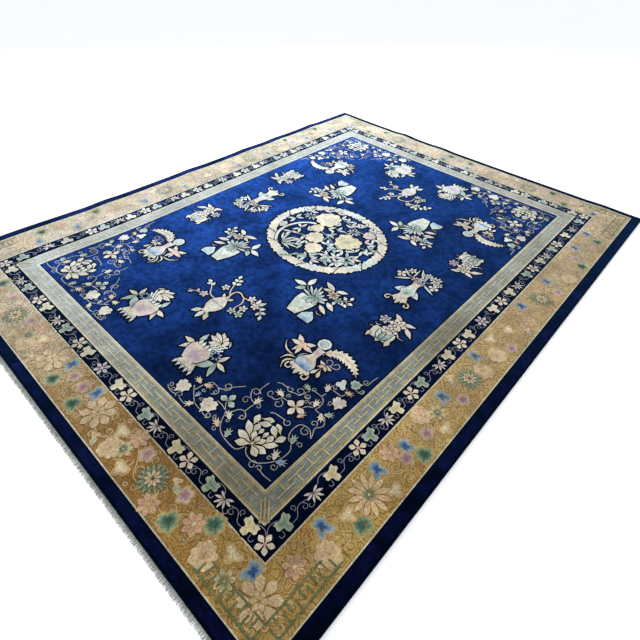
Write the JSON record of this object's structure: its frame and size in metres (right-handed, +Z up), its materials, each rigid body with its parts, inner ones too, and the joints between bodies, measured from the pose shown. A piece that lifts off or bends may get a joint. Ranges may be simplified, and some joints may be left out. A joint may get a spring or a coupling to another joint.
{
  "type": "chinese art deco rug",
  "caption": "Large rectangular hand-knotted wool rug with carved borders and a short cotton fringe at each short end, lying flat.",
  "frame": {"origin": "on the floor under the middle of the rug", "axes": "+X across the width, +Y along the length, +Z up out of the pile"},
  "size_m": [2.756, 3.5959, 0.02],
  "materials": {
    "wool_pile": "sheared wool pile in royal blue, navy, old gold, cream, rose and pale green, with carved outlines",
    "cotton_fringe": "undyed cotton warp, woven strip and short locks, a little greyed"
  },
  "bodies": {
    "root": {"rug_body": "wool_pile", "fringe_near": "cotton_fringe", "fringe_far": "cotton_fringe"}
  },
  "joints": []
}
